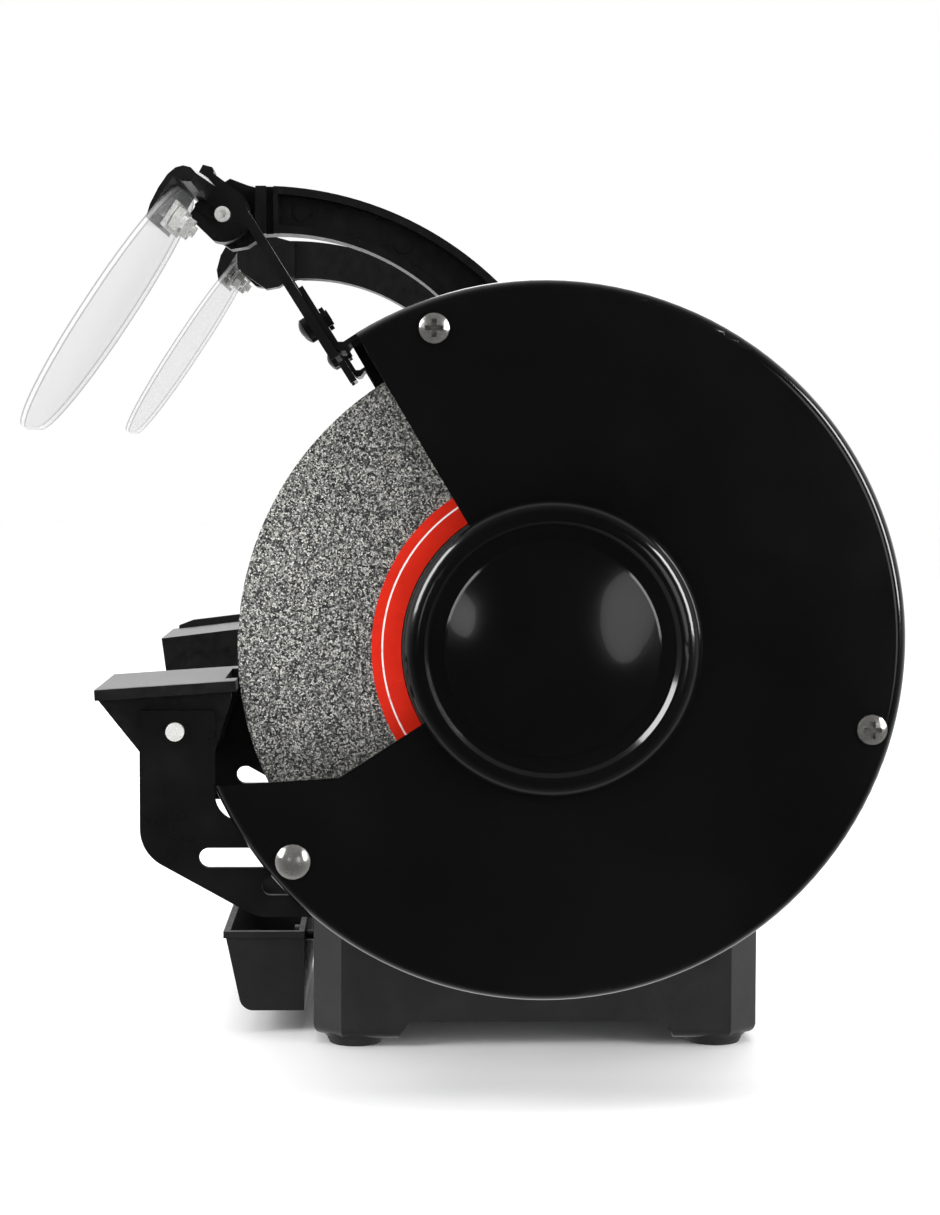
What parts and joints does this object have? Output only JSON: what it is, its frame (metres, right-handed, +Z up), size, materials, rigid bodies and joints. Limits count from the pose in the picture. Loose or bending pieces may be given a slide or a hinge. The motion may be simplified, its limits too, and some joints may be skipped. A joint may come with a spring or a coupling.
{
  "type": "bench grinder",
  "caption": "Bench grinder: motor on a cast base, guarded grinding wheels on its shaft, tilting tool rests, eye shields, spark plates and a lift-off water tray.",
  "frame": {"origin": "on the bench, at the centre of the four mounting holes and below the middle of the shaft", "axes": "+X along the shaft to the operator's right, -Y towards the operator, +Z up"},
  "size_m": [0.428, 0.2774, 0.3044],
  "materials": {
    "black_paint": "gloss",
    "base_paint": "satin powder coat on cast iron",
    "black_steel": "satin",
    "black_plastic": "satin",
    "tray_plastic": "satin",
    "wheel_grit": "coarse vitrified grit",
    "label_red": "printed card",
    "zinc": "zinc plated",
    "ground_steel": "satin ground",
    "bearing_steel": "polished",
    "lens_clear": "clear",
    "rubber": "matt",
    "lamination": "stacked",
    "copper": "enamelled",
    "motor_paint": "satin"
  },
  "bodies": {
    "frame": {"base_casting": "base_paint", "base_cover_plate": "black_steel", "base_plate_screws": "zinc", "rubber_feet": "rubber", "cord_inlet_gland": "black_plastic", "capacitor": "tray_plastic", "terminal_block": "black_plastic", "tray_screws": "black_steel", "switch_housing": "black_plastic", "motor_shell": "motor_paint", "end_bell_right": "motor_paint", "end_bell_left": "motor_paint", "motor_tie_rods": "zinc", "motor_mount_screws": "zinc", "stator_core": "lamination", "stator_windings": "copper", "bearing_outer_rings": "bearing_steel", "wave_washer": "zinc", "cover_screws": "zinc", "guard_mount_screws": "zinc", "arm_screws": "zinc", "shield_pivots": "zinc", "spark_bolts": "black_steel", "rest_bolts": "zinc", "guard_cover_right": "black_paint", "inner_guard_right": "black_paint", "shield_arm_right": "black_plastic", "spark_bracket_right": "black_steel", "guard_cover_left": "black_paint", "inner_guard_left": "black_paint", "shield_arm_left": "black_plastic", "spark_bracket_left": "black_steel"},
    "rotor": {"rotor_core": "lamination", "shaft": "ground_steel", "bearing_inner_rings": "bearing_steel", "wheel_flanges": "zinc", "spindle_nuts": "zinc", "grinding_wheel_right": "wheel_grit", "grinding_wheel_left": "wheel_grit", "wheel_labels_right": "label_red", "wheel_labels_left": "label_red"},
    "ball_sets": {"bearing_balls": "bearing_steel"},
    "rocker": {"switch_rocker": "label_red"},
    "tray": {"water_tray": "tray_plastic"},
    "shield_right": {"shield_holder_right": "black_plastic", "eye_lens_right": "lens_clear", "lens_clamp_right": "zinc", "lens_screws_right": "zinc"},
    "spark_plate_right": {"spark_arrestor_right": "black_steel"},
    "rest_right": {"rest_bracket_right": "black_steel", "rest_pin_right": "zinc"},
    "table_right": {"rest_table_right": "ground_steel"},
    "shield_left": {"shield_holder_left": "black_plastic", "eye_lens_left": "lens_clear", "lens_clamp_left": "zinc", "lens_screws_left": "zinc"},
    "spark_plate_left": {"spark_arrestor_left": "black_steel"},
    "rest_left": {"rest_bracket_left": "black_steel", "rest_pin_left": "zinc"},
    "table_left": {"rest_table_left": "ground_steel"}
  },
  "joints": [
    {"name": "rotor_spin", "type": "hinge", "parent": "frame", "child": "rotor", "pos_m": [0, 0, 0.148], "axis": [1, 0, 0], "continuous": true},
    {"name": "ball_spin", "type": "hinge", "parent": "frame", "child": "ball_sets", "pos_m": [0, 0, 0.148], "axis": [1, 0, 0], "continuous": true},
    {"name": "rocker_tilt", "type": "hinge", "parent": "frame", "child": "rocker", "pos_m": [0, -0.079, 0.054], "axis": [1, 0, 0], "range_deg": [0, 14]},
    {"name": "tray_lift", "type": "slide", "parent": "frame", "child": "tray", "axis": [0, 0, 1], "range_m": [0, 0.008]},
    {"name": "shield_tilt_right", "type": "hinge", "parent": "frame", "child": "shield_right", "pos_m": [0.155, -0.1069, 0.2882], "axis": [-1, 0, 0], "range_deg": [-12, 52]},
    {"name": "spark_slide_right", "type": "slide", "parent": "frame", "child": "spark_plate_right", "axis": [0, -0.5344, 0.8453], "range_m": [-0.002, 0.008]},
    {"name": "rest_slide_right", "type": "slide", "parent": "frame", "child": "rest_right", "axis": [0, -1, 0], "range_m": [-0.002, 0.012]},
    {"name": "table_tilt_right", "type": "hinge", "parent": "rest_right", "child": "table_right", "pos_m": [0.155, -0.1187, 0.1229], "axis": [1, 0, 0], "range_deg": [-4, 30]},
    {"name": "shield_tilt_left", "type": "hinge", "parent": "frame", "child": "shield_left", "pos_m": [-0.155, -0.1069, 0.2882], "axis": [-1, 0, 0], "range_deg": [-12, 52]},
    {"name": "spark_slide_left", "type": "slide", "parent": "frame", "child": "spark_plate_left", "axis": [0, -0.5344, 0.8453], "range_m": [-0.002, 0.008]},
    {"name": "rest_slide_left", "type": "slide", "parent": "frame", "child": "rest_left", "axis": [0, -1, 0], "range_m": [-0.0091, 0.0049]},
    {"name": "table_tilt_left", "type": "hinge", "parent": "rest_left", "child": "table_left", "pos_m": [-0.155, -0.1258, 0.1171], "axis": [1, 0, 0], "range_deg": [-7.1, 26.9]}
  ],
  "couplings": [
    {"joint": "ball_spin", "follows": "rotor_spin", "ratio": 0.3815}
  ]
}
